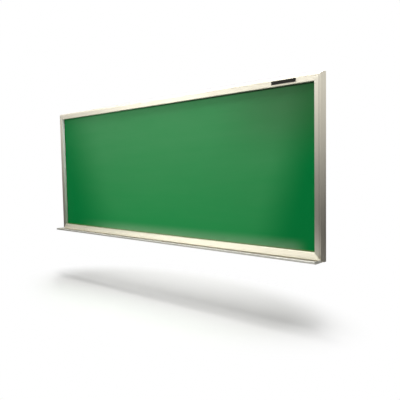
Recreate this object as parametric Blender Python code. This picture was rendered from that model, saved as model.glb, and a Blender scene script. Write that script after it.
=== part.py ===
"""Wall-hung school chalkboard with a mitred aluminium frame and a chalk tray.

Units are metres.  The origin is on the wall plane behind the middle of the board,
+Z is up, +X is to the reader's right and the writing side faces -Y.  Frame sections
are drawn with s, outwards from the frame's inner lip, and depth, forwards from the wall.
"""

import math

import bmesh
import bpy
from mathutils import Matrix, Vector

# Board
BOARD_WIDTH = 3.000
BOARD_HEIGHT = 1.200
STANDOFF = 0.008
FIT_GAP = 0.0003

# Writing panel, from the front: enamelled sheet, core board, backing sheet
SHEET_THICKNESS = 0.0006
CORE_THICKNESS = 0.018
BACKING_THICKNESS = 0.0005
PANEL_BITE = 0.014
PACKING_THICKNESS = 0.003

# Frame extrusion
FRAME_FACE = 0.045
FRAME_WALL = 0.0018
LIP_HEIGHT = 0.0245
SHOULDER_RUN = 0.0105
SHOULDER_DROP = 0.016
EDGE_STEP = 0.003
FACE_FALL = 0.0012
GROOVE_OFFSET = 0.031
GROOVE_WIDTH = 0.0024
GROOVE_DEPTH = 0.0008
REAR_LIP_SETBACK = 0.002
LIP_RADIUS = 0.0012
EDGE_RADIUS = 0.002

# Corner keys inside the mitres
KEY_LEG = 0.110
KEY_RIB = 0.008
KEY_TIP_RADIUS = 0.004

# Chalk tray extrusion and its end caps
TRAY_REACH = 0.084
TRAY_WALL = 0.0018
TRAY_LIP = 0.0160
TRAY_LIP_THICKNESS = 0.005
TRAY_NOSE_RISE = 0.004
TRAY_NOSE_RUN = 0.016
TRAY_COVE_RUN = 0.007
TRAY_SEAT_INSET = 0.003
TRAY_RIB_COUNT = 4
TRAY_RIB_WIDTH = 0.0016
TRAY_RIB_HEIGHT = 0.0008
CAP_THICKNESS = 0.0025
CAP_RAIL_GAP = 0.002

# Bare name plate on the top rail
PLATE_LENGTH = 0.186
PLATE_HEIGHT = 0.023
PLATE_THICKNESS = 0.0015
PLATE_OFFSET = 0.0115
PLATE_TO_END = 0.187
PLATE_RADIUS = 0.0015

# Steel stiffeners on the back
STIFFENER_PITCH = 0.720
STIFFENER_WEB = 0.040
STIFFENER_FLANGE = 0.018
STIFFENER_STEEL = 0.0012
STIFFENER_BEND = 0.0008

# Hanging clips on the back of the top rail
CLIP_PITCH = 1.160
CLIP_LENGTH = 0.100
CLIP_STEEL = 0.0015
CLIP_BASE = 0.014
CLIP_TONGUE = 0.016
CLIP_MARGIN = 0.008
CLIP_WALL_GAP = 0.0005

# Rubber wall bumpers on the back of the bottom rail
BUMPER_PITCH = 1.160
BUMPER_RADIUS = 0.012
BUMPER_CHAMFER = 0.0015
BUMPER_SIDES = 32

# Roundness of section corners, merge distance of welded caps and least angle of a crisp edge
ARC_STEPS = 4
WELD = 1.0e-6
SHARP_ANGLE = math.radians(30)

# Sizes that follow from the ones above
FRAME_WIDTH = FRAME_FACE + SHOULDER_RUN
INNER_HALF_WIDTH = BOARD_WIDTH / 2 - FRAME_WIDTH
INNER_HALF_HEIGHT = BOARD_HEIGHT / 2 - FRAME_WIDTH
PANEL_WIDTH = 2 * (INNER_HALF_WIDTH + PANEL_BITE)
PANEL_HEIGHT = 2 * (INNER_HALF_HEIGHT + PANEL_BITE)
POCKET = PANEL_BITE + FIT_GAP

# Depths, forwards from the wall
FRAME_BACK = STANDOFF
REAR_LIP_FRONT = FRAME_BACK + FRAME_WALL
PACKING_BACK = REAR_LIP_FRONT + FIT_GAP
BACKING_BACK = PACKING_BACK + PACKING_THICKNESS + FIT_GAP
CORE_BACK = BACKING_BACK + BACKING_THICKNESS + FIT_GAP
SHEET_BACK = CORE_BACK + CORE_THICKNESS + FIT_GAP
SHEET_FRONT = SHEET_BACK + SHEET_THICKNESS
LIP_UNDERSIDE = SHEET_FRONT + FIT_GAP
WEB_FRONT = LIP_UNDERSIDE + FRAME_WALL
FRAME_FRONT = SHEET_FRONT + LIP_HEIGHT
EDGE_FRONT = FRAME_FRONT - FACE_FALL
SHOULDER_FRONT = EDGE_FRONT - EDGE_STEP
SHOULDER_BACK = SHOULDER_FRONT - SHOULDER_DROP

# Plane section (s, depth) to the top rail, and other section planes to the board
SECTION_TO_TOP = Matrix(((0, 0, 1, 0), (0, -1, 0, 0), (1, 0, 0, 0), (0, 0, 0, 1)))
ACROSS_TO_BOARD = Matrix(((1, 0, 0, 0), (0, -1, 0, 0), (0, 0, -1, 0), (0, 0, 0, 1)))
TRAY_TO_BOARD = Matrix(((0, 0, -1, 0), (-1, 0, 0, 0), (0, 1, 0, 0), (0, 0, 0, 1)))
FACE_TO_BOARD = Matrix(((1, 0, 0, 0), (0, 0, -1, 0), (0, 1, 0, 0), (0, 0, 0, 1)))
SIDE_TURNS = {"top": 0, "right": 90, "bottom": 180, "left": 270}


def clear_scene():
    for obj in list(bpy.data.objects):
        bpy.data.objects.remove(obj, do_unlink=True)


def make_material(name, colour, roughness, metallic):
    material = bpy.data.materials.new(name)
    material.use_nodes = True
    shader = material.node_tree.nodes["Principled BSDF"]
    shader.inputs["Base Color"].default_value = (*colour, 1.0)
    shader.inputs["Roughness"].default_value = roughness
    shader.inputs["Metallic"].default_value = metallic
    return material


def rounded(corners):
    """Outline points of a polygon whose corners are (x, y) or (x, y, radius)."""
    places = [Vector(corner[:2]) for corner in corners]
    points = []
    for index, corner in enumerate(corners):
        here = places[index]
        if len(corner) < 3:
            points.append(here)
            continue
        before = places[index - 1] - here
        after = places[(index + 1) % len(places)] - here
        half_angle = before.angle(after) / 2
        reach = min(corner[2] / math.tan(half_angle), before.length * 0.45, after.length * 0.45)
        radius = reach * math.tan(half_angle)
        start = here + before.normalized() * reach
        end = here + after.normalized() * reach
        bisector = (before.normalized() + after.normalized()).normalized()
        centre = here + bisector * radius / math.sin(half_angle)
        first = math.atan2(start.y - centre.y, start.x - centre.x)
        sweep = math.atan2(end.y - centre.y, end.x - centre.x) - first
        sweep = (sweep + math.pi) % (2 * math.pi) - math.pi
        for step in range(ARC_STEPS + 1):
            angle = first + sweep * step / ARC_STEPS
            points.append(centre + Vector((math.cos(angle), math.sin(angle))) * radius)
    return points


def extruded(name, outlines, length):
    """Closed mesh of one outline, with holes, extruded along local Z about the middle."""
    curve = bpy.data.curves.new(name, "CURVE")
    curve.dimensions = "2D"
    curve.fill_mode = "BOTH"
    curve.extrude = length / 2
    for outline in outlines:
        spline = curve.splines.new("POLY")
        spline.points.add(len(outline) - 1)
        for point, place in zip(spline.points, outline):
            point.co = (place[0], place[1], 0, 1)
        spline.use_cyclic_u = True
    drawing = bpy.data.objects.new(name, curve)
    bpy.context.scene.collection.objects.link(drawing)
    depsgraph = bpy.context.evaluated_depsgraph_get()
    mesh = bpy.data.meshes.new_from_object(drawing.evaluated_get(depsgraph))
    bpy.data.objects.remove(drawing)
    bpy.data.curves.remove(curve)
    mesh.name = name
    weld(mesh)
    return mesh


def weld(mesh):
    shape = bmesh.new()
    shape.from_mesh(mesh)
    bmesh.ops.remove_doubles(shape, verts=shape.verts, dist=WELD)
    bmesh.ops.recalc_face_normals(shape, faces=shape.faces)
    shape.to_mesh(mesh)
    shape.free()


def add_part(name, mesh, material, matrix):
    part = bpy.data.objects.new(name, mesh)
    COLLECTION.objects.link(part)
    part.parent = ORIGIN
    part.matrix_world = matrix
    if not mesh.materials:
        mesh.materials.append(material)
    mesh.shade_smooth()
    mesh.set_sharp_from_angle(angle=SHARP_ANGLE)


def turned(side, inner_half):
    """Matrix that carries a frame section to one side of the board."""
    turn = Matrix.Rotation(math.radians(SIDE_TURNS[side]), 4, "Y")
    return turn @ Matrix.Translation((0, 0, inner_half)) @ SECTION_TO_TOP


def outer_side(depth):
    """s of the frame's outer side at a depth behind its face: a straight wall, then the shoulder."""
    if depth <= SHOULDER_BACK:
        return FRAME_WIDTH
    return FRAME_WIDTH - SHOULDER_RUN * (depth - SHOULDER_BACK) / SHOULDER_DROP


def outer_wall_inside(front, back):
    """Inside of the outer wall between two depths, bent where the shoulder ends."""
    depths = [front, back]
    if back < SHOULDER_BACK < front:
        depths.insert(1, SHOULDER_BACK)
    return [(outer_side(depth) - FRAME_WALL, depth) for depth in depths]


# Frame

def frame_outlines():
    """Outside of the extrusion with its panel pocket, then the front and back chambers."""
    groove_end = GROOVE_OFFSET + GROOVE_WIDTH
    groove_floor = FRAME_FRONT - GROOVE_DEPTH
    outside = [
        (0, FRAME_FRONT, LIP_RADIUS),
        (GROOVE_OFFSET, FRAME_FRONT),
        (GROOVE_OFFSET, groove_floor),
        (groove_end, groove_floor),
        (groove_end, FRAME_FRONT),
        (FRAME_FACE, EDGE_FRONT, EDGE_RADIUS),
        (FRAME_FACE, SHOULDER_FRONT),
        (FRAME_WIDTH, SHOULDER_BACK, LIP_RADIUS),
        (FRAME_WIDTH, FRAME_BACK, LIP_RADIUS),
        (REAR_LIP_SETBACK, FRAME_BACK),
        (REAR_LIP_SETBACK, REAR_LIP_FRONT),
        (POCKET, REAR_LIP_FRONT),
        (POCKET, LIP_UNDERSIDE),
        (0, LIP_UNDERSIDE),
    ]
    front_chamber = [
        (FRAME_WALL, WEB_FRONT),
        (FRAME_WALL, FRAME_FRONT - FRAME_WALL, LIP_RADIUS),
        (FRAME_FACE - FRAME_WALL, EDGE_FRONT - FRAME_WALL, LIP_RADIUS),
    ]
    front_chamber += outer_wall_inside(SHOULDER_FRONT - FRAME_WALL, WEB_FRONT)
    back_chamber = [
        (POCKET + FRAME_WALL, FRAME_BACK + FRAME_WALL, LIP_RADIUS),
        (POCKET + FRAME_WALL, LIP_UNDERSIDE),
    ]
    back_chamber += outer_wall_inside(LIP_UNDERSIDE, FRAME_BACK + FRAME_WALL)
    return [rounded(outside), rounded(front_chamber), rounded(back_chamber)]


def mitred(name, inner_half):
    """Frame section cut at 45 degrees at both ends, with half the joint gap off each end."""
    mesh = extruded(name, frame_outlines(), 2 * inner_half)
    joint_relief = FIT_GAP / math.sqrt(2)
    for vertex in mesh.vertices:
        end = inner_half + vertex.co.x - joint_relief
        vertex.co.z = math.copysign(end, vertex.co.z)
    return mesh


def build_frame():
    rail = mitred("rail", INNER_HALF_WIDTH)
    stile = mitred("stile", INNER_HALF_HEIGHT)
    add_part("top_rail", rail, ALUMINIUM, turned("top", INNER_HALF_HEIGHT))
    add_part("bottom_rail", rail, ALUMINIUM, turned("bottom", INNER_HALF_HEIGHT))
    add_part("left_stile", stile, ALUMINIUM, turned("left", INNER_HALF_WIDTH))
    add_part("right_stile", stile, ALUMINIUM, turned("right", INNER_HALF_WIDTH))


def build_corner_keys():
    """L-shaped keys that fill the front chamber round each mitre."""
    near = FRAME_WALL + FIT_GAP
    far = FRAME_FACE - FRAME_WALL - FIT_GAP
    back = WEB_FRONT + FIT_GAP
    front = EDGE_FRONT - FRAME_WALL - FIT_GAP
    ell = rounded([
        (near, near),
        (near, -KEY_LEG, KEY_TIP_RADIUS),
        (far, -KEY_LEG, KEY_TIP_RADIUS),
        (far, far, KEY_TIP_RADIUS),
        (-KEY_LEG, far, KEY_TIP_RADIUS),
        (-KEY_LEG, near, KEY_TIP_RADIUS),
    ])
    upright_slot = rounded([
        (near + KEY_RIB, -KEY_RIB, KEY_TIP_RADIUS),
        (far - KEY_RIB, -KEY_RIB, KEY_TIP_RADIUS),
        (far - KEY_RIB, KEY_RIB - KEY_LEG, KEY_TIP_RADIUS),
        (near + KEY_RIB, KEY_RIB - KEY_LEG, KEY_TIP_RADIUS),
    ])
    level_slot = [Vector((place.y, place.x)) for place in upright_slot]
    mesh = extruded("corner_key", [ell, upright_slot, level_slot], front - back)
    middle = -(back + front) / 2
    corners = (
        ("corner_key_top_right", 1, 1, 0),
        ("corner_key_bottom_right", 1, -1, 90),
        ("corner_key_bottom_left", -1, -1, 180),
        ("corner_key_top_left", -1, 1, 270),
    )
    for name, across, upward, degrees in corners:
        place = Matrix.Translation((across * INNER_HALF_WIDTH, middle, upward * INNER_HALF_HEIGHT))
        turn = Matrix.Rotation(math.radians(degrees), 4, "Y")
        add_part(name, mesh, KEY_ALLOY, place @ turn @ FACE_TO_BOARD)


# Writing panel

def add_slab(name, thickness, back, material):
    """Rectangular layer of the writing panel, from its back face forwards."""
    shape = bmesh.new()
    bmesh.ops.create_cube(shape, size=1.0)
    bmesh.ops.scale(shape, vec=(PANEL_WIDTH, thickness, PANEL_HEIGHT), verts=shape.verts)
    mesh = bpy.data.meshes.new(name)
    shape.to_mesh(mesh)
    shape.free()
    add_part(name, mesh, material, Matrix.Translation((0, -(back + thickness / 2), 0)))


def build_panel():
    add_slab("writing_surface", SHEET_THICKNESS, SHEET_BACK, ENAMEL)
    add_slab("core_panel", CORE_THICKNESS, CORE_BACK, CORE_BOARD)
    add_slab("backing_sheet", BACKING_THICKNESS, BACKING_BACK, GALVANISED)


def build_packing():
    """Strips that wedge the panel forwards against the frame's lip, from inside the pocket."""
    section = rounded([
        (REAR_LIP_SETBACK, PACKING_BACK, LIP_RADIUS),
        (PANEL_BITE, PACKING_BACK),
        (PANEL_BITE, PACKING_BACK + PACKING_THICKNESS),
        (REAR_LIP_SETBACK, PACKING_BACK + PACKING_THICKNESS, LIP_RADIUS),
    ])
    long_strip = extruded("packing_long", [section], PANEL_WIDTH)
    short_length = 2 * (INNER_HALF_HEIGHT + REAR_LIP_SETBACK - FIT_GAP)
    short_strip = extruded("packing_short", [section], short_length)
    add_part("packing_top", long_strip, PVC, turned("top", INNER_HALF_HEIGHT))
    add_part("packing_bottom", long_strip, PVC, turned("bottom", INNER_HALF_HEIGHT))
    add_part("packing_left", short_strip, PVC, turned("left", INNER_HALF_WIDTH))
    add_part("packing_right", short_strip, PVC, turned("right", INNER_HALF_WIDTH))


# Chalk tray

TRAY_FLOOR = -BOARD_HEIGHT / 2 - FIT_GAP
TRAY_UNDERSIDE = TRAY_FLOOR - TRAY_WALL
TRAY_TOP = TRAY_FLOOR + TRAY_LIP
TRAY_BACK = FRAME_BACK + TRAY_SEAT_INSET
TRAY_NOSE = FRAME_FRONT + TRAY_REACH
TRAY_LIP_BACK = TRAY_NOSE - TRAY_LIP_THICKNESS
TRAY_HALF_LENGTH = BOARD_WIDTH / 2 - SHOULDER_RUN


def tray_nose():
    """Underside and rounded front of the tray, from the back edge to the top of the lip."""
    return [
        (TRAY_BACK, TRAY_UNDERSIDE),
        (TRAY_NOSE - TRAY_NOSE_RUN, TRAY_UNDERSIDE, TRAY_NOSE_RUN / 2),
        (TRAY_NOSE, TRAY_UNDERSIDE + TRAY_NOSE_RISE, TRAY_NOSE_RISE),
        (TRAY_NOSE, TRAY_TOP, TRAY_LIP_THICKNESS / 2),
        (TRAY_LIP_BACK, TRAY_TOP, TRAY_LIP_THICKNESS / 2),
    ]


def tray_ribs():
    """Low ribs along the trough floor, which keep chalk off the dust, from front to back."""
    first = TRAY_LIP_BACK - TRAY_COVE_RUN
    pitch = (first - FRAME_FRONT) / (TRAY_RIB_COUNT + 1)
    corners = []
    for index in range(TRAY_RIB_COUNT):
        front = first - pitch * (index + 1) + TRAY_RIB_WIDTH / 2
        back = front - TRAY_RIB_WIDTH
        top = TRAY_FLOOR + TRAY_RIB_HEIGHT
        corners += [(front, TRAY_FLOOR), (front, top), (back, top), (back, TRAY_FLOOR)]
    return corners


def build_tray():
    cove = [(TRAY_LIP_BACK - TRAY_COVE_RUN, TRAY_FLOOR, TRAY_COVE_RUN / 2)]
    section = rounded(tray_nose() + cove + tray_ribs() + [(TRAY_BACK, TRAY_FLOOR)])
    length = 2 * (TRAY_HALF_LENGTH - CAP_THICKNESS - FIT_GAP)
    add_part("chalk_tray", extruded("chalk_tray", [section], length), TRAY_ALLOY, TRAY_TO_BOARD)


def build_end_caps():
    """Plates that close the ends of the trough, clear of the face and sloping shoulder of the rail."""
    outline = rounded(tray_nose() + [
        (FRAME_FRONT + CAP_RAIL_GAP, TRAY_TOP),
        (FRAME_FRONT + CAP_RAIL_GAP, -INNER_HALF_HEIGHT - FRAME_FACE),
        (SHOULDER_BACK + CAP_RAIL_GAP, TRAY_FLOOR),
        (TRAY_BACK, TRAY_FLOOR),
    ])
    mesh = extruded("tray_end_cap", [outline], CAP_THICKNESS)
    middle = TRAY_HALF_LENGTH - CAP_THICKNESS / 2
    for name, across in (("tray_end_cap_left", -middle), ("tray_end_cap_right", middle)):
        add_part(name, mesh, CAP_PLASTIC, Matrix.Translation((across, 0, 0)) @ TRAY_TO_BOARD)


# Pieces on the front and back of the frame

def build_name_plate():
    half_length = PLATE_LENGTH / 2
    half_height = PLATE_HEIGHT / 2
    outline = rounded([
        (-half_length, -half_height, PLATE_RADIUS),
        (half_length, -half_height, PLATE_RADIUS),
        (half_length, half_height, PLATE_RADIUS),
        (-half_length, half_height, PLATE_RADIUS),
    ])
    mesh = extruded("name_plate", [outline], PLATE_THICKNESS)
    place = Matrix.Translation((
        BOARD_WIDTH / 2 - PLATE_TO_END - half_length,
        -(FRAME_FRONT + FIT_GAP + PLATE_THICKNESS / 2),
        INNER_HALF_HEIGHT + PLATE_OFFSET + half_height,
    ))
    add_part("name_plate", mesh, PLATE_DARK, place @ FACE_TO_BOARD)


def build_stiffeners():
    """Pressed hat sections on the backing sheet, level with the wall at their webs."""
    half_web = STIFFENER_WEB / 2
    seat = BACKING_BACK - FIT_GAP
    inside = half_web - STIFFENER_STEEL
    edge = half_web + STIFFENER_FLANGE
    under = seat - STIFFENER_STEEL
    outline = rounded([
        (-edge, seat),
        (-edge, under),
        (-half_web, under, STIFFENER_BEND),
        (-half_web, 0, STIFFENER_BEND),
        (half_web, 0, STIFFENER_BEND),
        (half_web, under, STIFFENER_BEND),
        (edge, under),
        (edge, seat),
        (inside, seat, STIFFENER_BEND),
        (inside, STIFFENER_STEEL, STIFFENER_BEND),
        (-inside, STIFFENER_STEEL, STIFFENER_BEND),
        (-inside, seat, STIFFENER_BEND),
    ])
    length = 2 * (INNER_HALF_HEIGHT + REAR_LIP_SETBACK - FIT_GAP)
    mesh = extruded("stiffener", [outline], length)
    for name, step in (("left", -1), ("centre", 0), ("right", 1)):
        place = Matrix.Translation((step * STIFFENER_PITCH, 0, 0))
        add_part(f"back_stiffener_{name}", mesh, GALVANISED, place @ ACROSS_TO_BOARD)


def build_hanging_clips():
    """Joggled clips whose tongues drop behind a cleat on the wall."""
    base_top = FRAME_WIDTH - CLIP_MARGIN
    joggle = base_top - CLIP_BASE
    tip = joggle - CLIP_TONGUE
    base_front = FRAME_BACK - FIT_GAP
    base_back = base_front - CLIP_STEEL
    tongue_front = CLIP_WALL_GAP + CLIP_STEEL
    outline = rounded([
        (base_top, base_front),
        (joggle - CLIP_STEEL, base_front, STIFFENER_BEND),
        (joggle - CLIP_STEEL, tongue_front, STIFFENER_BEND),
        (tip, tongue_front),
        (tip, CLIP_WALL_GAP),
        (joggle, CLIP_WALL_GAP, STIFFENER_BEND),
        (joggle, base_back, STIFFENER_BEND),
        (base_top, base_back),
    ])
    mesh = extruded("hanging_clip", [outline], CLIP_LENGTH)
    for name, step in (("left", -1), ("centre", 0), ("right", 1)):
        place = Matrix.Translation((step * CLIP_PITCH, 0, 0))
        add_part(f"hanging_clip_{name}", mesh, GALVANISED, place @ turned("top", INNER_HALF_HEIGHT))


def build_bumpers():
    """Rubber buttons that hold the bottom of the board off the wall by the same stand-off."""
    length = FRAME_BACK - FIT_GAP
    shape = bmesh.new()
    bmesh.ops.create_cone(
        shape, cap_ends=True, segments=BUMPER_SIDES,
        radius1=BUMPER_RADIUS, radius2=BUMPER_RADIUS, depth=length,
    )
    rim = [edge for edge in shape.edges if all(vertex.co.z > 0 for vertex in edge.verts)]
    bmesh.ops.bevel(shape, geom=rim, offset=BUMPER_CHAMFER, segments=2, affect="EDGES", profile=0.5)
    mesh = bpy.data.meshes.new("wall_bumper")
    shape.to_mesh(mesh)
    shape.free()
    level = -(INNER_HALF_HEIGHT + FRAME_WIDTH / 2)
    wallwards = Matrix.Rotation(math.radians(-90), 4, "X")
    for name, step in (("left", -1), ("centre", 0), ("right", 1)):
        place = Matrix.Translation((step * BUMPER_PITCH, -length / 2, level))
        add_part(f"wall_bumper_{name}", mesh, RUBBER, place @ wallwards)


clear_scene()
COLLECTION = bpy.data.collections.new("school_chalkboard")
bpy.context.scene.collection.children.link(COLLECTION)
ORIGIN = bpy.data.objects.new("wall_centre", None)
COLLECTION.objects.link(ORIGIN)

ALUMINIUM = make_material("anodised_aluminium", (0.72, 0.68, 0.60), 0.38, 1.0)
TRAY_ALLOY = make_material("tray_aluminium", (0.62, 0.61, 0.57), 0.42, 1.0)
KEY_ALLOY = make_material("cast_key_alloy", (0.55, 0.55, 0.56), 0.55, 1.0)
ENAMEL = make_material("green_enamel", (0.022, 0.225, 0.080), 0.35, 0.0)
CORE_BOARD = make_material("fibre_core_board", (0.42, 0.29, 0.17), 0.85, 0.0)
GALVANISED = make_material("galvanised_steel", (0.55, 0.56, 0.57), 0.45, 1.0)
PVC = make_material("pvc_packing", (0.12, 0.12, 0.12), 0.60, 0.0)
CAP_PLASTIC = make_material("end_cap_plastic", (0.47, 0.46, 0.43), 0.50, 0.0)
PLATE_DARK = make_material("dark_name_plate", (0.010, 0.009, 0.006), 0.35, 0.0)
RUBBER = make_material("bumper_rubber", (0.03, 0.03, 0.03), 0.80, 0.0)

build_frame()
build_corner_keys()
build_panel()
build_packing()
build_tray()
build_end_caps()
build_name_plate()
build_stiffeners()
build_hanging_clips()
build_bumpers()
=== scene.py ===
"""Finishes, small fixings, studio light and camera for the wall-hung school chalkboard.

Units are metres.  The wall plane is Y = 0, the writing side faces -Y and +Z is up.
"""

import math

import bmesh
import bpy
from mathutils import Matrix, Quaternion, Vector


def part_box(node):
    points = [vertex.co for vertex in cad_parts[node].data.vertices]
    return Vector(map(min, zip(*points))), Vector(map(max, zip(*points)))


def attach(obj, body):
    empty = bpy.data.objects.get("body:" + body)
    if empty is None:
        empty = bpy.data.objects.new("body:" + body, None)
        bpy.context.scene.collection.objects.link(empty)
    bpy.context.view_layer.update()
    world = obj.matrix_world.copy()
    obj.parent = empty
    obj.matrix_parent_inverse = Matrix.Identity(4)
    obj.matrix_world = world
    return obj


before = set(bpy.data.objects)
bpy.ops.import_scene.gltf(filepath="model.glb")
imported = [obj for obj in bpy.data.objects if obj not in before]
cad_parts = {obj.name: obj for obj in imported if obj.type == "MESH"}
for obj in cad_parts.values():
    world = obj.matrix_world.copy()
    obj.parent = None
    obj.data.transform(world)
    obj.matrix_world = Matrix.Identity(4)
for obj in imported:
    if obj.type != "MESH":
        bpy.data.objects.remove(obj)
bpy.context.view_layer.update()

MM = 0.001

# Camera, fitted to the photograph's frame
CAMERA_PLACE = Vector((2.893, -2.739, 0.004))
CAMERA_YAW = math.radians(42.16)
CAMERA_PITCH = math.radians(3.76)
CAMERA_ROLL = math.radians(-1.04)
CAMERA_LENS = 42.09
CAMERA_SENSOR = 36.0

# Floor under the hanging board: centre and half axes of the oval that keeps the shadow, and the
# share of it from which the floor fades to plain white
FLOOR_LEVEL = -1.08
FLOOR_HALF_SIZE = 30.0
FLOOR_OVAL_CENTRE = (-0.05, 0.0)
FLOOR_OVAL = (1.85, 0.95)
FLOOR_FADE_START = 0.62

# Soft boxes: centre, aim, turn about the aim in degrees, width, height and power.  The floor box
# lights the floor alone, the strip the bottom rail alone, and the others all but the floor
OVERHEAD_BOX = (Vector((-0.1, -0.3, 2.9)), Vector((0.0, 0.0, -1.1)), -15.0, 3.2, 1.1, 160.0)
FLOOR_BOX = (Vector((0.15, -0.36, 3.6)), Vector((0.15, -0.06, -1.1)), -28.5, 6.2, 0.6, 255.0)
SIDE_BOX = (Vector((-3.35, -3.0, 2.6)), Vector((0.0, 0.0, 0.0)), 0.0, 2.1, 1.8, 62.0)
FRONT_BOX = (Vector((-0.1, -2.6, -0.4)), Vector((0.05, 0.0, -0.2)), 0.0, 1.6, 1.0, 15.5)
RAIL_STRIP = (Vector((-1.5, -3.0, -0.35)), Vector((0.2, 0.0, -0.5)), 0.0, 3.4, 0.9, 28.0)
AMBIENT_LIGHT = 0.22

# Studio walls and floor cloth that only reflections see: (radius, level) from the middle out
SHELL_FLOOR = FLOOR_LEVEL + 0.01
SHELL_PROFILE = ((2.6, SHELL_FLOOR), (5.6, SHELL_FLOOR), (6.3, -0.9), (6.8, 1.9))
SHELL_SIDES = 64
SHELL_DARK_LEVEL = SHELL_FLOOR
SHELL_PALE_LEVEL = 1.7
SHELL_DARK = 0.13
SHELL_PALE = 0.80

# Groove along the frame's face: its middle from the member's inner edge, its half width, and how
# far behind the face's front its painted shade goes
GROOVE_MIDDLE = 32.2 * MM
GROOVE_HALF = 1.4 * MM
GROOVE_REACH = 4 * MM

# Places of the fixings on the back, in the board's frame
STIFFENERS = ("back_stiffener_left", "back_stiffener_centre", "back_stiffener_right")
CLIPS = ("hanging_clip_left", "hanging_clip_centre", "hanging_clip_right")
STIFFENER_STEEL = 1.2 * MM
STIFFENER_FLANGE = 18 * MM
RIVET_ROWS = 5
RIVET_END_MARGIN = 45 * MM
RIVET_RADIUS = 4.2 * MM
RIVET_HEIGHT = 1.5 * MM
RIVET_DOME_RINGS = 7
RIVET_DOME_STEP = math.radians(90 / 8)
RIVET_EYE_RADIUS = 1.3 * MM
RIVET_EYE_DEPTH = 0.7 * MM
RIVET_EYE_BEVEL = 0.15 * MM
RIVET_EYE_RIM_SHARE = 1.15
RIVET_EYE_FLOOR_SHARE = 0.92
RIVET_EYE_MIDDLE_SHARE = 0.3
CLIP_BASE = 14 * MM
CLIP_BASE_BACK = 6.2 * MM
CLIP_SCREW_INSET = 20 * MM
CLIP_SCREW_TURNS = (math.radians(20), math.radians(65))
SCREW_RADIUS = 4.4 * MM
SCREW_HEIGHT = 2.4 * MM
SCREW_RIM = 0.45 * SCREW_HEIGHT
SCREW_SHOULDER = 0.55 * SCREW_HEIGHT
SCREW_SHOULDER_RINGS = 6
SCREW_TOP_STEPS = 12
SCREW_SLOT_HALF = 0.55 * MM
SCREW_SLOT_REACH = 2.5 * MM
SCREW_SLOT_DEPTH = 1.3 * MM
SCREW_SLOT_RISE = 0.6
HEAD_SIDES = 32
HEAD_SHARP_ANGLE = math.radians(35)


def linear(colour):
    """An sRGB hex colour as linear RGBA."""
    shares = [int(colour[place:place + 2], 16) / 255 for place in (1, 3, 5)]
    return [s / 12.92 if s <= 0.04045 else ((s + 0.055) / 1.055) ** 2.4 for s in shares] + [1.0]


def add_node(tree, kind, inputs=None, **settings):
    """A node with its settings; an input takes a value, or a socket to be linked from."""
    made = tree.nodes.new(kind)
    for name, value in settings.items():
        setattr(made, name, value)
    for name, value in (inputs or {}).items():
        if isinstance(value, bpy.types.NodeSocket):
            tree.links.new(value, made.inputs[name])
        else:
            made.inputs[name].default_value = value
    return made


def new_surface(name):
    """An empty material, its node tree and its output node."""
    material = bpy.data.materials.new(name)
    material.use_nodes = True
    tree = material.node_tree
    tree.nodes.clear()
    return material, tree, add_node(tree, "ShaderNodeOutputMaterial")


# Metal finishes

def extruded_aluminium(name, length_axis, pale, deep, dullness, dust_and_shade=None, groove_shade=None):
    """Extruded aluminium, etched and anodised in a natural satin with a faint warm tint.

    The eye sees a soft sheen drawn out across the fine die lines that run along each member,
    a slight cloudiness from the etch, and what use leaves: chalk dust lying in the tray and a film
    of it on the stiles' inner walls, which thins downwards as painted shade; painted shade also
    darkens the stiles' grooves.
    """
    material, tree, output = new_surface(name)
    place = add_node(tree, "ShaderNodeTexCoord").outputs["Object"]
    # Real die lines are about 0.3 mm apart; they are drawn at 3 mm so that they show
    line_spacing = 3 * MM
    line_length = 1100 * MM
    stretch = [1 / line_spacing] * 3
    stretch["XYZ".index(length_axis)] = 1 / line_length
    drawn = add_node(tree, "ShaderNodeMapping", {"Vector": place, "Scale": stretch})
    lines = add_node(tree, "ShaderNodeTexNoise", {
        "Vector": drawn.outputs["Vector"], "Scale": 1.0, "Detail": 3.0, "Roughness": 0.6,
    })
    # Etch clouds are about 120 mm across and shift the dullness a little
    cloud_size = 120 * MM
    cloudiness = 0.04
    clouds = add_node(tree, "ShaderNodeTexNoise", {
        "Vector": place, "Scale": 1 / cloud_size, "Detail": 3.0, "Roughness": 0.55,
    })
    tone = add_node(tree, "ShaderNodeMix", {
        "Factor": lines.outputs["Fac"], "A": linear(deep), "B": linear(pale),
    }, data_type="RGBA")
    # Painted shade in the stiles' grooves, when given
    if groove_shade:
        tone = groove_shade(tree, place, tone)
    sheen = add_node(tree, "ShaderNodeMapRange", {
        "Value": clouds.outputs["Fac"], "From Min": 0.3, "From Max": 0.7,
        "To Min": dullness - cloudiness, "To Max": dullness + cloudiness,
    })
    relief = add_node(tree, "ShaderNodeBump", {
        "Height": lines.outputs["Fac"], "Strength": 0.25, "Distance": 0.05 * MM,
    })
    across = add_node(tree, "ShaderNodeTangent", direction_type="RADIAL", axis=length_axis)
    shader = add_node(tree, "ShaderNodeBsdfPrincipled", {
        "Base Color": tone.outputs["Result"], "Metallic": 1.0,
        "Roughness": sheen.outputs["Result"], "Normal": relief.outputs["Normal"],
        "Anisotropic": 0.75, "Tangent": across.outputs["Tangent"],
    })
    surface = dust_and_shade(tree, place, shader) if dust_and_shade else shader
    tree.links.new(surface.outputs[0], output.inputs["Surface"])
    return material


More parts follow.
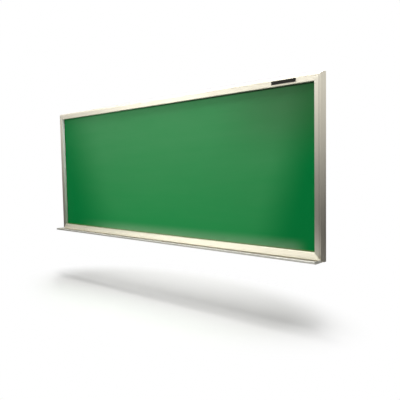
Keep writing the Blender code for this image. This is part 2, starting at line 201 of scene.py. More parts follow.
def groove_painted_shade(tree, place, tone):
    """Painted shade in the groove along each stile's face: a grey laid into the groove where shade
    falls.
    """
    stile_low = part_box("right_stile")[0]
    spot = add_node(tree, "ShaderNodeSeparateXYZ", {"Vector": place})
    outward = add_node(tree, "ShaderNodeMath", {0: spot.outputs["X"]}, operation="ABSOLUTE")
    in_line = add_node(tree, "ShaderNodeMath", {
        0: outward.outputs["Value"], 1: stile_low.x + GROOVE_MIDDLE, 2: GROOVE_HALF,
    }, operation="COMPARE")
    on_face = add_node(tree, "ShaderNodeMath", {
        0: spot.outputs["Y"], 1: stile_low.y + GROOVE_REACH,
    }, operation="LESS_THAN")
    in_groove = add_node(tree, "ShaderNodeMath", {
        0: in_line.outputs["Value"], 1: on_face.outputs["Value"],
    }, operation="MULTIPLY")
    # Painted shade: grey mixed into the groove
    return add_node(tree, "ShaderNodeMix", {
        "Factor": in_groove.outputs["Value"], "A": tone.outputs["Result"], "B": linear("#A39C8C"),
    }, data_type="RGBA")


def chalk_dusted(tree, place, metal):
    """Chalk powder on the tray's floor: matt, off-white and patchy, only on what faces upwards."""
    tray_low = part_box("chalk_tray")[0]
    # Heights above the tray's underside up to which it is full and at which it ends
    full_height = 2 * MM
    bare_height = 6 * MM
    depth = add_node(tree, "ShaderNodeSeparateXYZ", {"Vector": place})
    facing = add_node(tree, "ShaderNodeSeparateXYZ", {
        "Vector": add_node(tree, "ShaderNodeNewGeometry").outputs["Normal"],
    })
    upward = add_node(tree, "ShaderNodeMapRange", {
        "Value": facing.outputs["Z"], "From Min": 0.4, "From Max": 0.95,
    }, interpolation_type="SMOOTHSTEP")
    floor_only = add_node(tree, "ShaderNodeMapRange", {
        "Value": depth.outputs["Z"],
        "From Min": tray_low.z + bare_height, "From Max": tray_low.z + full_height,
    })
    # Powder gathers in drifts about 140 mm long and 30 mm wide
    drift_length = 140 * MM
    drift_width = 30 * MM
    drift_size = add_node(tree, "ShaderNodeMapping", {
        "Vector": place, "Scale": [1 / drift_length, 1 / drift_width, 1 / drift_width],
    })
    drifts = add_node(tree, "ShaderNodeTexNoise", {
        "Vector": drift_size.outputs["Vector"], "Scale": 1.0, "Detail": 5.0, "Roughness": 0.65,
    })
    cover = add_node(tree, "ShaderNodeMapRange", {
        "Value": drifts.outputs["Fac"], "From Min": 0.3, "From Max": 0.7,
        "To Min": 0.75, "To Max": 1.0,
    })
    patch = add_node(tree, "ShaderNodeMath", {
        0: upward.outputs["Result"], 1: floor_only.outputs["Result"],
    }, operation="MULTIPLY")
    share = add_node(tree, "ShaderNodeMath", {
        0: patch.outputs["Value"], 1: cover.outputs["Result"],
    }, operation="MULTIPLY")
    return add_node(tree, "ShaderNodeMixShader", {
        0: share.outputs["Value"], 1: metal.outputs["BSDF"],
        2: chalk_powder(tree, place).outputs["BSDF"],
    })


def chalk_film_and_shade(tree, place, metal):
    """Film of chalk on the stiles' walls beside the writing panel, which no cloth reaches; it thins
    downwards, which paints the wall darker low down as shade.
    """
    stile_low, stile_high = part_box("left_stile")
    spot = add_node(tree, "ShaderNodeSeparateXYZ", {"Vector": place})
    facing = add_node(tree, "ShaderNodeSeparateXYZ", {
        "Vector": add_node(tree, "ShaderNodeNewGeometry").outputs["Normal"],
    })
    # Along X, normal times place is about -1.4 on a wall that faces the panel
    inward = add_node(tree, "ShaderNodeMath", {
        0: facing.outputs["X"], 1: spot.outputs["X"],
    }, operation="MULTIPLY")
    beside_panel = add_node(tree, "ShaderNodeMapRange", {
        "Value": inward.outputs["Value"], "From Min": -0.4, "From Max": -1.2,
    })
    # The film thins towards the bottom: painted shade, darker low down and paler at the top
    film_at_bottom = 0.1
    film_at_top = 0.95
    thickness = add_node(tree, "ShaderNodeMapRange", {
        "Value": spot.outputs["Z"], "From Min": stile_low.z, "From Max": stile_high.z,
        "To Min": film_at_bottom, "To Max": film_at_top,
    })
    film = add_node(tree, "ShaderNodeMath", {
        0: beside_panel.outputs["Result"], 1: thickness.outputs["Result"],
    }, operation="MULTIPLY")
    # Chalk film with painted shade: the pale film is thinner low down
    return add_node(tree, "ShaderNodeMixShader", {
        0: film.outputs["Value"], 1: metal.outputs["BSDF"],
        2: chalk_powder(tree, place).outputs["BSDF"],
    })


def chalk_powder(tree, place):
    """Loose chalk: matt and off-white, with crumbs of 2 mm."""
    crumb = 2 * MM
    crumbs = add_node(tree, "ShaderNodeTexNoise", {
        "Vector": place, "Scale": 1 / crumb, "Detail": 2.0,
    })
    relief = add_node(tree, "ShaderNodeBump", {
        "Height": crumbs.outputs["Fac"], "Strength": 0.5, "Distance": 0.2 * MM,
    })
    return add_node(tree, "ShaderNodeBsdfPrincipled", {
        "Base Color": linear("#F0EFEA"), "Roughness": 0.95, "IOR": 1.45,
        "Normal": relief.outputs["Normal"],
    })


def galvanised_steel(name, dark, pale, spangle, dull, duller):
    """Hot-dip galvanised sheet steel: grey zinc crystals, each turned a little from the next.

    The eye sees a patchwork of paler and darker spangles with a soft metallic glint; they are
    broad and dull on the backing sheet, small and brighter on the pressed pieces fixed to it.
    """
    material, tree, output = new_surface(name)
    place = add_node(tree, "ShaderNodeTexCoord").outputs["Object"]
    spangles = add_node(tree, "ShaderNodeTexVoronoi", {
        "Vector": place, "Scale": 1 / spangle, "Randomness": 1.0,
    })
    shade = add_node(tree, "ShaderNodeSeparateColor", {"Color": spangles.outputs["Color"]})
    # Frost inside the spangles is about 1.5 mm across
    frost_size = 1.5 * MM
    frost = add_node(tree, "ShaderNodeTexNoise", {
        "Vector": place, "Scale": 1 / frost_size, "Detail": 2.0,
    })
    tone = add_node(tree, "ShaderNodeMix", {
        "Factor": shade.outputs["Red"], "A": linear(dark), "B": linear(pale),
    }, data_type="RGBA")
    dullness = add_node(tree, "ShaderNodeMapRange", {
        "Value": shade.outputs["Green"], "To Min": dull, "To Max": duller,
    })
    relief = add_node(tree, "ShaderNodeBump", {
        "Height": frost.outputs["Fac"], "Strength": 0.2, "Distance": 0.05 * MM,
    })
    shader = add_node(tree, "ShaderNodeBsdfPrincipled", {
        "Base Color": tone.outputs["Result"], "Metallic": 1.0,
        "Roughness": dullness.outputs["Result"], "Normal": relief.outputs["Normal"],
    })
    tree.links.new(shader.outputs["BSDF"], output.inputs["Surface"])
    return material


def die_cast_zinc():
    """Die-cast zinc alloy of the corner keys: dull grey with a sandy skin of about 1 mm grain."""
    material, tree, output = new_surface("die_cast_zinc")
    place = add_node(tree, "ShaderNodeTexCoord").outputs["Object"]
    grain = 1 * MM
    skin = add_node(tree, "ShaderNodeTexNoise", {
        "Vector": place, "Scale": 1 / grain, "Detail": 3.0,
    })
    tone = add_node(tree, "ShaderNodeMix", {
        "Factor": skin.outputs["Fac"], "A": linear("#9B9C9E"), "B": linear("#BCBDBF"),
    }, data_type="RGBA")
    relief = add_node(tree, "ShaderNodeBump", {
        "Height": skin.outputs["Fac"], "Strength": 0.4, "Distance": 0.08 * MM,
    })
    shader = add_node(tree, "ShaderNodeBsdfPrincipled", {
        "Base Color": tone.outputs["Result"], "Metallic": 1.0, "Roughness": 0.55,
        "Normal": relief.outputs["Normal"],
    })
    tree.links.new(shader.outputs["BSDF"], output.inputs["Surface"])
    return material


# Writing panel finishes

def between_ends(tree, along, left_lean, left, right_lean, right):
    """One over the middle of the board, fading to zero at each end from full to bare.

    The leans are how far each fade moves along X for every metre of height.
    """
    fades = []
    for lean, (bare, full) in ((left_lean, left), (right_lean, right)):
        leaning = add_node(tree, "ShaderNodeMath", {
            0: along.outputs["Z"], 1: lean, 2: along.outputs["X"],
        }, operation="MULTIPLY_ADD")
        fades.append(add_node(tree, "ShaderNodeMapRange", {
            "Value": leaning.outputs["Value"], "From Min": bare, "From Max": full,
        }, interpolation_type="SMOOTHSTEP"))
    return add_node(tree, "ShaderNodeMath", {
        0: fades[0].outputs["Result"], 1: fades[1].outputs["Result"],
    }, operation="MULTIPLY")


def creased(tree, along, tone):
    """Painted shade along the frame's lip: dark under the top lip and at the left; chalk dust at the
    bottom.
    """
    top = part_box("top_rail")[0].z
    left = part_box("left_stile")[1].x
    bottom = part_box("bottom_rail")[1].z
    # Distances from the frame's lip at which the painted shade (top and left) and the dust (bottom)
    # start and are full
    top_start, top_full = 15 * MM, 4 * MM
    left_start, left_full = 14 * MM, 3 * MM
    bottom_start, bottom_full = 14 * MM, 2 * MM
    under_lip = add_node(tree, "ShaderNodeMapRange", {
        "Value": along.outputs["Z"], "From Min": top - top_start, "From Max": top - top_full,
    }, interpolation_type="SMOOTHSTEP")
    # The painted shade under the top lip grows darker towards the right
    shade_faint_x, shade_full_x = -1.3, 0.6
    shade_rise = add_node(tree, "ShaderNodeMapRange", {
        "Value": along.outputs["X"], "From Min": shade_faint_x, "From Max": shade_full_x,
        "To Min": 0.25, "To Max": 0.9,
    })
    lip_shade = add_node(tree, "ShaderNodeMath", {
        0: under_lip.outputs["Result"], 1: shade_rise.outputs["Result"],
    }, operation="MULTIPLY")
    beside = add_node(tree, "ShaderNodeMapRange", {
        "Value": along.outputs["X"], "From Min": left + left_start, "From Max": left + left_full,
        "To Max": 0.5,
    }, interpolation_type="SMOOTHSTEP")
    dark = add_node(tree, "ShaderNodeMath", {
        0: lip_shade.outputs["Value"], 1: beside.outputs["Result"],
    }, operation="MAXIMUM")
    # Painted shade: near-black green in the creases under the top lip and beside the left stile
    crease_shaded = add_node(tree, "ShaderNodeMix", {
        "Factor": dark.outputs["Value"], "A": tone.outputs["Result"], "B": linear("#0E1A0E"),
    }, data_type="RGBA")
    swept = add_node(tree, "ShaderNodeMapRange", {
        "Value": along.outputs["Z"],
        "From Min": bottom + bottom_start, "From Max": bottom + bottom_full, "To Max": 0.6,
    }, interpolation_type="SMOOTHSTEP")
    return add_node(tree, "ShaderNodeMix", {
        "Factor": swept.outputs["Result"], "A": crease_shaded.outputs["Result"], "B": linear("#77704E"),
    }, data_type="RGBA")


def brown_film_and_shade(tree, along, tone):
    """Brown film at the upper right, which also paints that corner darker as shade."""
    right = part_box("right_stile")[0].x
    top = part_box("top_rail")[0].z
    # Distances from the frame's lip at which the brown film and its painted shade start and are full
    side_start, side_full = 950 * MM, 120 * MM
    top_start, top_full = 550 * MM, 90 * MM
    sideways = add_node(tree, "ShaderNodeMapRange", {
        "Value": along.outputs["X"], "From Min": right - side_start, "From Max": right - side_full,
    }, interpolation_type="SMOOTHSTEP")
    upward = add_node(tree, "ShaderNodeMapRange", {
        "Value": along.outputs["Z"], "From Min": top - top_start, "From Max": top - top_full,
        "To Max": 0.33,
    }, interpolation_type="SMOOTHSTEP")
    share = add_node(tree, "ShaderNodeMath", {
        0: sideways.outputs["Result"], 1: upward.outputs["Result"],
    }, operation="MULTIPLY")
    # Painted shade and brown tint: dark brown mixed in towards the upper right
    return add_node(tree, "ShaderNodeMix", {
        "Factor": share.outputs["Value"], "A": tone.outputs["Result"], "B": linear("#40322D"),
    }, data_type="RGBA")


def chalkboard_enamel():
    """Vitreous enamel fired on steel, ground matt so that chalk bites.

    The eye sees a deep green with a satin sheen, painted darker towards the ends as shade, a veil
    of wiped chalk over the part that is written on, fainter towards the ends, which also paints the
    sheen, powder along the bottom lip with a painted reflection of the rail, a brown film with
    painted shade at the upper right and painted shade in the creases along the frame.
    """
    material, tree, output = new_surface("ground_green_enamel")
    sheet_low, sheet_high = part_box("writing_surface")
    rail_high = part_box("bottom_rail")[1]
    place = add_node(tree, "ShaderNodeTexCoord").outputs["Object"]
    along = add_node(tree, "ShaderNodeSeparateXYZ", {"Vector": place})
    # One over the middle, fading to the ends: the enamel is painted darker at the ends as shade, and the
    # veil thins there
    middle_share = between_ends(tree, along, 0.35, (-1.43, -0.68), -0.30, (1.42, 1.04))
    # The chalk veil thickens towards the top, and with it the painted sheen
    veil_and_sheen_low, veil_and_sheen_high = 0.018, 0.075
    height = add_node(tree, "ShaderNodeMapRange", {
        "Value": along.outputs["Z"], "From Min": sheet_low.z, "From Max": sheet_high.z,
        "To Min": veil_and_sheen_low, "To Max": veil_and_sheen_high,
    })
    veil_and_sheen_spread = add_node(tree, "ShaderNodeMath", {
        0: middle_share.outputs["Value"], 1: height.outputs["Result"],
    }, operation="MULTIPLY")
    # Felt strokes are about 90 mm wide and 700 mm long, leaning up to the right
    stroke_width = 90 * MM
    stroke_length = 700 * MM
    stroke_lean = math.radians(12)
    stroke_turn = add_node(tree, "ShaderNodeMapping", {
        "Vector": place, "Rotation": [0.0, stroke_lean, 0.0],
        "Scale": [1 / stroke_length, 1.0, 1 / stroke_width],
    })
    strokes = add_node(tree, "ShaderNodeTexNoise", {
        "Vector": stroke_turn.outputs["Vector"], "Scale": 1.0, "Detail": 4.0, "Roughness": 0.55,
    })
    stroke_share = add_node(tree, "ShaderNodeMapRange", {
        "Value": strokes.outputs["Fac"], "From Min": 0.25, "From Max": 0.75,
        "To Min": 0.88, "To Max": 1.12,
    })
    veil_and_sheen = add_node(tree, "ShaderNodeMath", {
        0: veil_and_sheen_spread.outputs["Value"], 1: stroke_share.outputs["Result"],
    }, operation="MULTIPLY")
    # A pale band of 95 mm above the bottom lip runs down behind it: fallen chalk powder and a painted
    # reflection of the bright bottom rail
    band_height = 95 * MM
    band_depth = 5 * MM
    settled_and_reflected = add_node(tree, "ShaderNodeMapRange", {
        "Value": along.outputs["Z"],
        "From Min": rail_high.z + band_height, "From Max": rail_high.z - band_depth, "To Max": 0.14,
    }, interpolation_type="SMOOTHSTEP")
    bottom_band_spread = between_ends(tree, along, 0.0, (-1.3, -0.4), 0.0, (1.4, 1.25))
    chalk_and_painted_light = add_node(tree, "ShaderNodeMath", {
        0: settled_and_reflected.outputs["Result"], 1: bottom_band_spread.outputs["Value"], 2: veil_and_sheen.outputs["Value"],
    }, operation="MULTIPLY_ADD")
    # Painted shade: a darker green towards the ends, a paler one in the middle
    enamel = add_node(tree, "ShaderNodeMix", {
        "Factor": middle_share.outputs["Value"], "A": linear("#007235"), "B": linear("#00823D"),
    }, data_type="RGBA")
    # Pale chalk colour over the enamel: real chalk veil and dust, and with them a painted sheen and a
    # painted reflection of the bottom rail
    tone = add_node(tree, "ShaderNodeMix", {
        "Factor": chalk_and_painted_light.outputs["Value"], "A": enamel.outputs["Result"],
        "B": linear("#E6E4DA"),
    }, data_type="RGBA")
    # Painted shade in the creases and at the upper right, with the brown film and the dust at the bottom
    crease_shaded = creased(tree, along, brown_film_and_shade(tree, along, tone))
    # Ground grit is about 0.1 mm; it is drawn at 1.2 mm so that it shows
    grit_size = 1.2 * MM
    grit = add_node(tree, "ShaderNodeTexNoise", {
        "Vector": place, "Scale": 1 / grit_size, "Detail": 2.0,
    })
    relief = add_node(tree, "ShaderNodeBump", {
        "Height": grit.outputs["Fac"], "Strength": 0.12, "Distance": 0.05 * MM,
    })
    polish = add_node(tree, "ShaderNodeMapRange", {
        "Value": veil_and_sheen.outputs["Value"], "From Max": 0.1, "To Min": 0.36, "To Max": 0.50,
    })
    shader = add_node(tree, "ShaderNodeBsdfPrincipled", {
        "Base Color": crease_shaded.outputs["Result"], "Roughness": polish.outputs["Result"],
        "IOR": 1.5, "Specular IOR Level": 0.04, "Normal": relief.outputs["Normal"],
    })
    tree.links.new(shader.outputs["BSDF"], output.inputs["Surface"])
    return material


def fibre_board():
    """Pressed wood-fibre board: brown, matt and flecked with fibres about 6 mm long."""
    material, tree, output = new_surface("pressed_fibre_board")
    place = add_node(tree, "ShaderNodeTexCoord").outputs["Object"]
    fibre_length, fibre_depth, fibre_width = 6 * MM, 0.8 * MM, 3 * MM
    lying = add_node(tree, "ShaderNodeMapping", {
        "Vector": place, "Scale": [1 / fibre_length, 1 / fibre_depth, 1 / fibre_width],
    })
    fibres = add_node(tree, "ShaderNodeTexNoise", {
        "Vector": lying.outputs["Vector"], "Scale": 1.0, "Detail": 4.0,
    })
    tone = add_node(tree, "ShaderNodeMix", {
        "Factor": fibres.outputs["Fac"], "A": linear("#8C6A45"), "B": linear("#BE9D74"),
    }, data_type="RGBA")
    relief = add_node(tree, "ShaderNodeBump", {
        "Height": fibres.outputs["Fac"], "Strength": 0.5, "Distance": 0.1 * MM,
    })
    shader = add_node(tree, "ShaderNodeBsdfPrincipled", {
        "Base Color": tone.outputs["Result"], "Roughness": 0.9, "IOR": 1.45,
        "Normal": relief.outputs["Normal"],
    })
    tree.links.new(shader.outputs["BSDF"], output.inputs["Surface"])
    return material


# Plastic, rubber and plate finishes

def moulded(name, dark, pale, dullness, gloss, grain):
    """Moulded plastic or rubber: one colour, a little cloudy, with the mould's fine grain."""
    material, tree, output = new_surface(name)
    place = add_node(tree, "ShaderNodeTexCoord").outputs["Object"]
    texture = add_node(tree, "ShaderNodeTexNoise", {
        "Vector": place, "Scale": 1 / grain, "Detail": 2.0,
    })
    # Clouds of handling and dust are about 25 mm across and shift the dullness
    cloud_size = 25 * MM
    cloudiness = 0.08
    clouds = add_node(tree, "ShaderNodeTexNoise", {
        "Vector": place, "Scale": 1 / cloud_size, "Detail": 3.0,
    })
    tone = add_node(tree, "ShaderNodeMix", {
        "Factor": clouds.outputs["Fac"], "A": linear(dark), "B": linear(pale),
    }, data_type="RGBA")
    wear = add_node(tree, "ShaderNodeMapRange", {
        "Value": clouds.outputs["Fac"],
        "To Min": dullness - cloudiness, "To Max": dullness + cloudiness,
    })
    relief = add_node(tree, "ShaderNodeBump", {
        "Height": texture.outputs["Fac"], "Strength": 0.3, "Distance": 0.06 * MM,
    })
    shader = add_node(tree, "ShaderNodeBsdfPrincipled", {
        "Base Color": tone.outputs["Result"], "Roughness": wear.outputs["Result"],
        "IOR": 1.5, "Specular IOR Level": gloss, "Normal": relief.outputs["Normal"],
    })
    tree.links.new(shader.outputs["BSDF"], output.inputs["Surface"])
    return material


# Small fixings, made in mesh code

def lay_head(shape, outline, matrix, dents=None):
    """A turned head from (radius, height) rings, from its seat to its middle, closed below."""
    rings = []
    for radius, height in outline:
        ring = []
        for side in range(HEAD_SIDES):
            angle = 2 * math.pi * side / HEAD_SIDES
            across = radius * math.cos(angle)
            upward = radius * math.sin(angle)
            sunk = dents(across, upward) if dents else 0.0
            ring.append(shape.verts.new(matrix @ Vector((across, upward, height - sunk))))
        rings.append(ring)
    for lower, upper in zip(rings, rings[1:]):
        for side in range(HEAD_SIDES):
            after = (side + 1) % HEAD_SIDES
            shape.faces.new((lower[side], lower[after], upper[after], upper[side]))
    shape.faces.new(rings[-1])
    shape.faces.new(reversed(rings[0]))


def rivet_outline():
    """Low dome with the eye that the pulled pin leaves."""
    dome = []
    for step in range(RIVET_DOME_RINGS):
        angle = RIVET_DOME_STEP * step
        dome.append((RIVET_RADIUS * math.cos(angle), RIVET_HEIGHT * math.sin(angle)))
    return dome + [
        (RIVET_EYE_RADIUS * RIVET_EYE_RIM_SHARE, RIVET_HEIGHT),
        (RIVET_EYE_RADIUS, RIVET_HEIGHT - RIVET_EYE_BEVEL),
        (RIVET_EYE_RADIUS * RIVET_EYE_FLOOR_SHARE, RIVET_HEIGHT - RIVET_EYE_DEPTH),
        (RIVET_EYE_RADIUS * RIVET_EYE_MIDDLE_SHARE, RIVET_HEIGHT - RIVET_EYE_DEPTH),
    ]


def screw_outline():
    """Pan head: a short straight rim, a rounded shoulder and a nearly flat top."""
    rings = [(SCREW_RADIUS, 0.0), (SCREW_RADIUS, SCREW_RIM)]
    for step in range(1, SCREW_SHOULDER_RINGS + 1):
        angle = math.radians(90 * step / SCREW_SHOULDER_RINGS)
        rings.append((
            SCREW_RADIUS - SCREW_SHOULDER * (1 - math.cos(angle)),
            SCREW_RIM + SCREW_SHOULDER * math.sin(angle),
        ))
    flat = rings[-1][0]
    for step in range(1, SCREW_TOP_STEPS):
        rings.append((flat * (1 - step / SCREW_TOP_STEPS), SCREW_HEIGHT))
    return rings


def cross_slot(across, upward):
    """Depth of a cross recess at a place on the screw's head, deepest in the middle."""
    short = min(abs(across), abs(upward))
    long = max(abs(across), abs(upward))
    if short > SCREW_SLOT_HALF or long > SCREW_SLOT_REACH:
        return 0.0
    return SCREW_SLOT_DEPTH * (1 - SCREW_SLOT_RISE * long / SCREW_SLOT_REACH)


def finish_fixing(name, shape, material):
    """The heads of one fixed piece as one object on the root body."""
    mesh = bpy.data.meshes.new(name)
    bmesh.ops.recalc_face_normals(shape, faces=shape.faces)
    shape.to_mesh(mesh)
    shape.free()
    mesh.materials.append(material)
    mesh.shade_smooth()
    mesh.set_sharp_from_angle(angle=HEAD_SHARP_ANGLE)
    piece = bpy.data.objects.new(name, mesh)
    bpy.context.scene.collection.objects.link(piece)
    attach(piece, "root")


# Heads lie on their seats with their tops towards the wall
TO_WALL = Matrix.Rotation(math.radians(-90), 4, "X")


def rivet_stiffener(node, material):
    """Two rows of blind rivets through a stiffener's flanges into the backing sheet."""
    low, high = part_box(node)
    seat = low.y + STIFFENER_STEEL
    shape = bmesh.new()
    span = high.z - low.z - 2 * RIVET_END_MARGIN
    for across in (low.x + STIFFENER_FLANGE / 2, high.x - STIFFENER_FLANGE / 2):
        for row in range(RIVET_ROWS):
            level = low.z + RIVET_END_MARGIN + span * row / (RIVET_ROWS - 1)
            place = Matrix.Translation((across, seat, level)) @ TO_WALL
            lay_head(shape, rivet_outline(), place)
    finish_fixing(f"rivets_{node}", shape, material)


def screw_clip(node, material):
    """Two cross-recessed pan heads that hold a hanging clip to the top rail."""
    low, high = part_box(node)
    shape = bmesh.new()
    places = (low.x + CLIP_SCREW_INSET, high.x - CLIP_SCREW_INSET)
    for across, turn in zip(places, CLIP_SCREW_TURNS):
        place = Matrix.Translation((across, -CLIP_BASE_BACK, high.z - CLIP_BASE / 2))
        spin = Matrix.Rotation(turn, 4, "Z")
        lay_head(shape, screw_outline(), place @ TO_WALL @ spin, cross_slot)
    finish_fixing(f"screws_{node}", shape, material)


# Studio

def add_floor():
    """Pale floor that keeps the board's shadow near it and fades to plain white farther out."""
    material, tree, output = new_surface("pale_studio_floor")
    place = add_node(tree, "ShaderNodeTexCoord").outputs["Object"]
    oval = add_node(tree, "ShaderNodeMapping", {
        "Vector": place, "Location": [*FLOOR_OVAL_CENTRE, 0.0], "Scale": [*FLOOR_OVAL, 1.0],
    }, vector_type="TEXTURE")
    distance = add_node(tree, "ShaderNodeVectorMath", {0: oval.outputs["Vector"]}, operation="LENGTH")
    far = add_node(tree, "ShaderNodeMapRange", {
        "Value": distance.outputs["Value"], "From Min": FLOOR_FADE_START, "From Max": 1.0,
    }, interpolation_type="SMOOTHSTEP")
    seen = seen_by_eye(tree)
    glow_share = add_node(tree, "ShaderNodeMath", {
        0: far.outputs["Result"], 1: seen.outputs["Value"],
    }, operation="MULTIPLY")
    paint = add_node(tree, "ShaderNodeBsdfDiffuse", {"Color": linear("#F6F6F4")})
    glow = add_node(tree, "ShaderNodeEmission", {"Color": linear("#FFFFFF"), "Strength": 1.0})
    mixed = add_node(tree, "ShaderNodeMixShader", {
        0: glow_share.outputs["Value"], 1: paint.outputs["BSDF"], 2: glow.outputs["Emission"],
    })
    # From below the floor is clear, so that the board's underside can be looked at
    one_sided = add_node(tree, "ShaderNodeMixShader", {
        0: add_node(tree, "ShaderNodeNewGeometry").outputs["Backfacing"],
        1: mixed.outputs["Shader"], 2: add_node(tree, "ShaderNodeBsdfTransparent").outputs["BSDF"],
    })
    tree.links.new(one_sided.outputs["Shader"], output.inputs["Surface"])
    half = FLOOR_HALF_SIZE
    corners = [(-half, -half, 0), (half, -half, 0), (half, half, 0), (-half, half, 0)]
    add_stage_sheet("studio_floor", corners, [(0, 1, 2, 3)], Vector((0, 0, FLOOR_LEVEL)), material)


def seen_by_eye(tree):
    """One where a ray comes straight, by reflection or through glass from the camera."""
    path = add_node(tree, "ShaderNodeLightPath")
    direct = add_node(tree, "ShaderNodeMath", {
        0: path.outputs["Is Camera Ray"], 1: path.outputs["Is Glossy Ray"],
    }, operation="MAXIMUM")
    return add_node(tree, "ShaderNodeMath", {
        0: direct.outputs["Value"], 1: path.outputs["Is Transmission Ray"],
    }, operation="MAXIMUM")


def add_stage_sheet(name, corners, faces, place, material):
    """A bare mesh that belongs to the studio and not to the board."""
    mesh = bpy.data.meshes.new(name)
    mesh.from_pydata(corners, [], faces)
    mesh.materials.append(material)
    sheet = bpy.data.objects.new(name, mesh)
    sheet.location = place
    bpy.context.scene.collection.objects.link(sheet)
    return sheet


def add_studio_shell():
    """Studio walls, dark by the floor and paler upwards; only reflections show them."""
    material, tree, output = new_surface("graded_studio_wall")
    place = add_node(tree, "ShaderNodeTexCoord").outputs["Object"]
    level = add_node(tree, "ShaderNodeSeparateXYZ", {"Vector": place})
    grade = add_node(tree, "ShaderNodeMapRange", {
        "Value": level.outputs["Z"], "From Min": SHELL_DARK_LEVEL, "From Max": SHELL_PALE_LEVEL,
        "To Min": SHELL_DARK, "To Max": SHELL_PALE,
    }, interpolation_type="SMOOTHSTEP")
    glow = add_node(tree, "ShaderNodeEmission", {
        "Color": linear("#FFFFFF"), "Strength": grade.outputs["Result"],
    })
    tree.links.new(glow.outputs["Emission"], output.inputs["Surface"])
    corners = []
    for radius, height in SHELL_PROFILE:
        for side in range(SHELL_SIDES):
            angle = 2 * math.pi * side / SHELL_SIDES
            corners.append((radius * math.cos(angle), radius * math.sin(angle), height))
    faces = []
    for ring in range(len(SHELL_PROFILE) - 1):
        for side in range(SHELL_SIDES):
            after = (side + 1) % SHELL_SIDES
            lower = ring * SHELL_SIDES
            upper = lower + SHELL_SIDES
            faces.append((lower + side, lower + after, upper + after, upper + side))
    shell = add_stage_sheet("studio_shell", corners, faces, Vector(), material)
    shell.visible_camera = False
    shell.visible_diffuse = False
    shell.visible_transmission = False
    shell.visible_volume_scatter = False
    shell.visible_shadow = False


def add_soft_box(name, centre, aim, turn, width, height, power):
    """A flat rectangular light that faces its aim and that the camera doesn't see."""
    lamp = bpy.data.lights.new(name, "AREA")
    lamp.shape = "RECTANGLE"
    lamp.size = width
    lamp.size_y = height
    lamp.energy = power
    box = bpy.data.objects.new(name, lamp)
    box.location = centre
    box.rotation_mode = "QUATERNION"
    spin = Quaternion((0.0, 0.0, 1.0), math.radians(turn))
    box.rotation_quaternion = (aim - centre).to_track_quat("-Z", "Y") @ spin
    box.visible_camera = False
    bpy.context.scene.collection.objects.link(box)
    return box


def add_lights():
    """One long box overhead for the floor and its shadow; boxes for the board that leave it out."""
    floor_light = add_soft_box("floor_soft_box", *FLOOR_BOX)
    below = bpy.data.collections.new("lit_by_floor_box")
    below.objects.link(bpy.data.objects["studio_floor"])
    floor_light.light_linking.receiver_collection = below
    overhead = add_soft_box("overhead_soft_box", *OVERHEAD_BOX)
    side = add_soft_box("side_soft_box", *SIDE_BOX)
    front = add_soft_box("front_soft_box", *FRONT_BOX)
    front.visible_glossy = False
    all_but_floor = bpy.data.collections.new("lit_by_board_boxes")
    all_but_floor.objects.link(bpy.data.objects["studio_floor"])
    all_but_floor.collection_objects[0].light_linking.link_state = "EXCLUDE"
    for box in (overhead, side, front):
        box.light_linking.receiver_collection = all_but_floor
    # A flagged strip reaches the bottom rail alone
    strip = add_soft_box("rail_strip_light", *RAIL_STRIP)
    flagged = bpy.data.collections.new("lit_by_strip")
    flagged.objects.link(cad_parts["bottom_rail"])
    strip.light_linking.receiver_collection = flagged


def add_world():
    """White to the eye and in reflections; an even soft light on the surfaces."""
    world = bpy.data.worlds.new("white_studio")
    bpy.context.scene.world = world
    world.use_nodes = True
    tree = world.node_tree
    tree.nodes.clear()
    output = add_node(tree, "ShaderNodeOutputWorld")
    soft = add_node(tree, "ShaderNodeBackground", {
        "Color": linear("#FFFFFF"), "Strength": AMBIENT_LIGHT,
    })
    white = add_node(tree, "ShaderNodeBackground", {"Color": linear("#FFFFFF"), "Strength": 1.0})
    mixed = add_node(tree, "ShaderNodeMixShader", {
        0: seen_by_eye(tree).outputs["Value"], 1: soft.outputs["Background"],
        2: white.outputs["Background"],
    })
    tree.links.new(mixed.outputs["Shader"], output.inputs["Surface"])


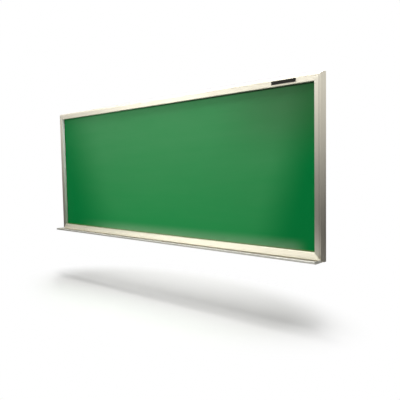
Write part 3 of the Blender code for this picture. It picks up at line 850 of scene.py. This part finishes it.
def add_camera():
    """Camera at the photograph's place, from its yaw, pitch and roll."""
    level = math.cos(CAMERA_PITCH)
    ahead = Vector((
        -math.sin(CAMERA_YAW) * level, math.cos(CAMERA_YAW) * level, -math.sin(CAMERA_PITCH),
    ))
    aside = Vector((math.cos(CAMERA_YAW), math.sin(CAMERA_YAW), 0.0))
    above = aside.cross(ahead)
    right = aside * math.cos(CAMERA_ROLL) + above * math.sin(CAMERA_ROLL)
    upright = above * math.cos(CAMERA_ROLL) - aside * math.sin(CAMERA_ROLL)
    lens = bpy.data.cameras.new("photograph_camera")
    lens.lens = CAMERA_LENS
    lens.sensor_width = CAMERA_SENSOR
    camera = bpy.data.objects.new("photograph_camera", lens)
    turn = Matrix((right, upright, -ahead)).transposed().to_4x4()
    camera.matrix_world = Matrix.Translation(CAMERA_PLACE) @ turn
    bpy.context.scene.collection.objects.link(camera)
    bpy.context.scene.camera = camera


def dress(material, *nodes):
    """Give whole pieces one finish."""
    for node in nodes:
        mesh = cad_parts[node].data
        mesh.materials.clear()
        mesh.materials.append(material)


zinc = galvanised_steel("galvanised_pressed_steel", "#D2D5D6", "#E6E8E8", 4 * MM, 0.34, 0.42)
dress(extruded_aluminium("anodised_aluminium_rail", "X", "#EDE7D6", "#DFD9C8", 0.52),
      "top_rail", "bottom_rail")
dress(extruded_aluminium("anodised_aluminium_stile", "Z", "#EDE7D6", "#DFD9C8", 0.37, chalk_film_and_shade,
                         groove_painted_shade),
      "left_stile", "right_stile")
dress(extruded_aluminium("anodised_aluminium_tray", "X", "#C8C6BE", "#BAB8B0", 0.42, chalk_dusted),
      "chalk_tray")
dress(chalkboard_enamel(), "writing_surface")
dress(fibre_board(), "core_panel")
dress(galvanised_steel("galvanised_sheet_steel", "#9CA0A2", "#B8BBBC", 14 * MM, 0.42, 0.56),
      "backing_sheet")
dress(zinc, *STIFFENERS, *CLIPS)
dress(die_cast_zinc(), *[f"corner_key_{corner}" for corner in (
    "top_left", "top_right", "bottom_left", "bottom_right",
)])
dress(moulded("extruded_grey_pvc", "#55565A", "#66676B", 0.6, 0.5, 0.8 * MM), *[
    f"packing_{side}" for side in ("top", "bottom", "left", "right")
])
dress(moulded("moulded_grey_abs", "#B4B2A8", "#C6C4BA", 0.5, 0.5, 0.6 * MM),
      "tray_end_cap_left", "tray_end_cap_right")
dress(moulded("satin_black_plate", "#14120D", "#1E1B15", 0.45, 0.2, 0.5 * MM), "name_plate")
dress(moulded("moulded_black_rubber", "#232323", "#343332", 0.8, 0.5, 0.9 * MM), *[
    f"wall_bumper_{place}" for place in ("left", "centre", "right")
])

for stiffener in STIFFENERS:
    rivet_stiffener(stiffener, zinc)
for clip in CLIPS:
    screw_clip(clip, zinc)

add_floor()
add_studio_shell()
add_world()
add_lights()
add_camera()
bpy.context.scene.view_settings.view_transform = "Standard"
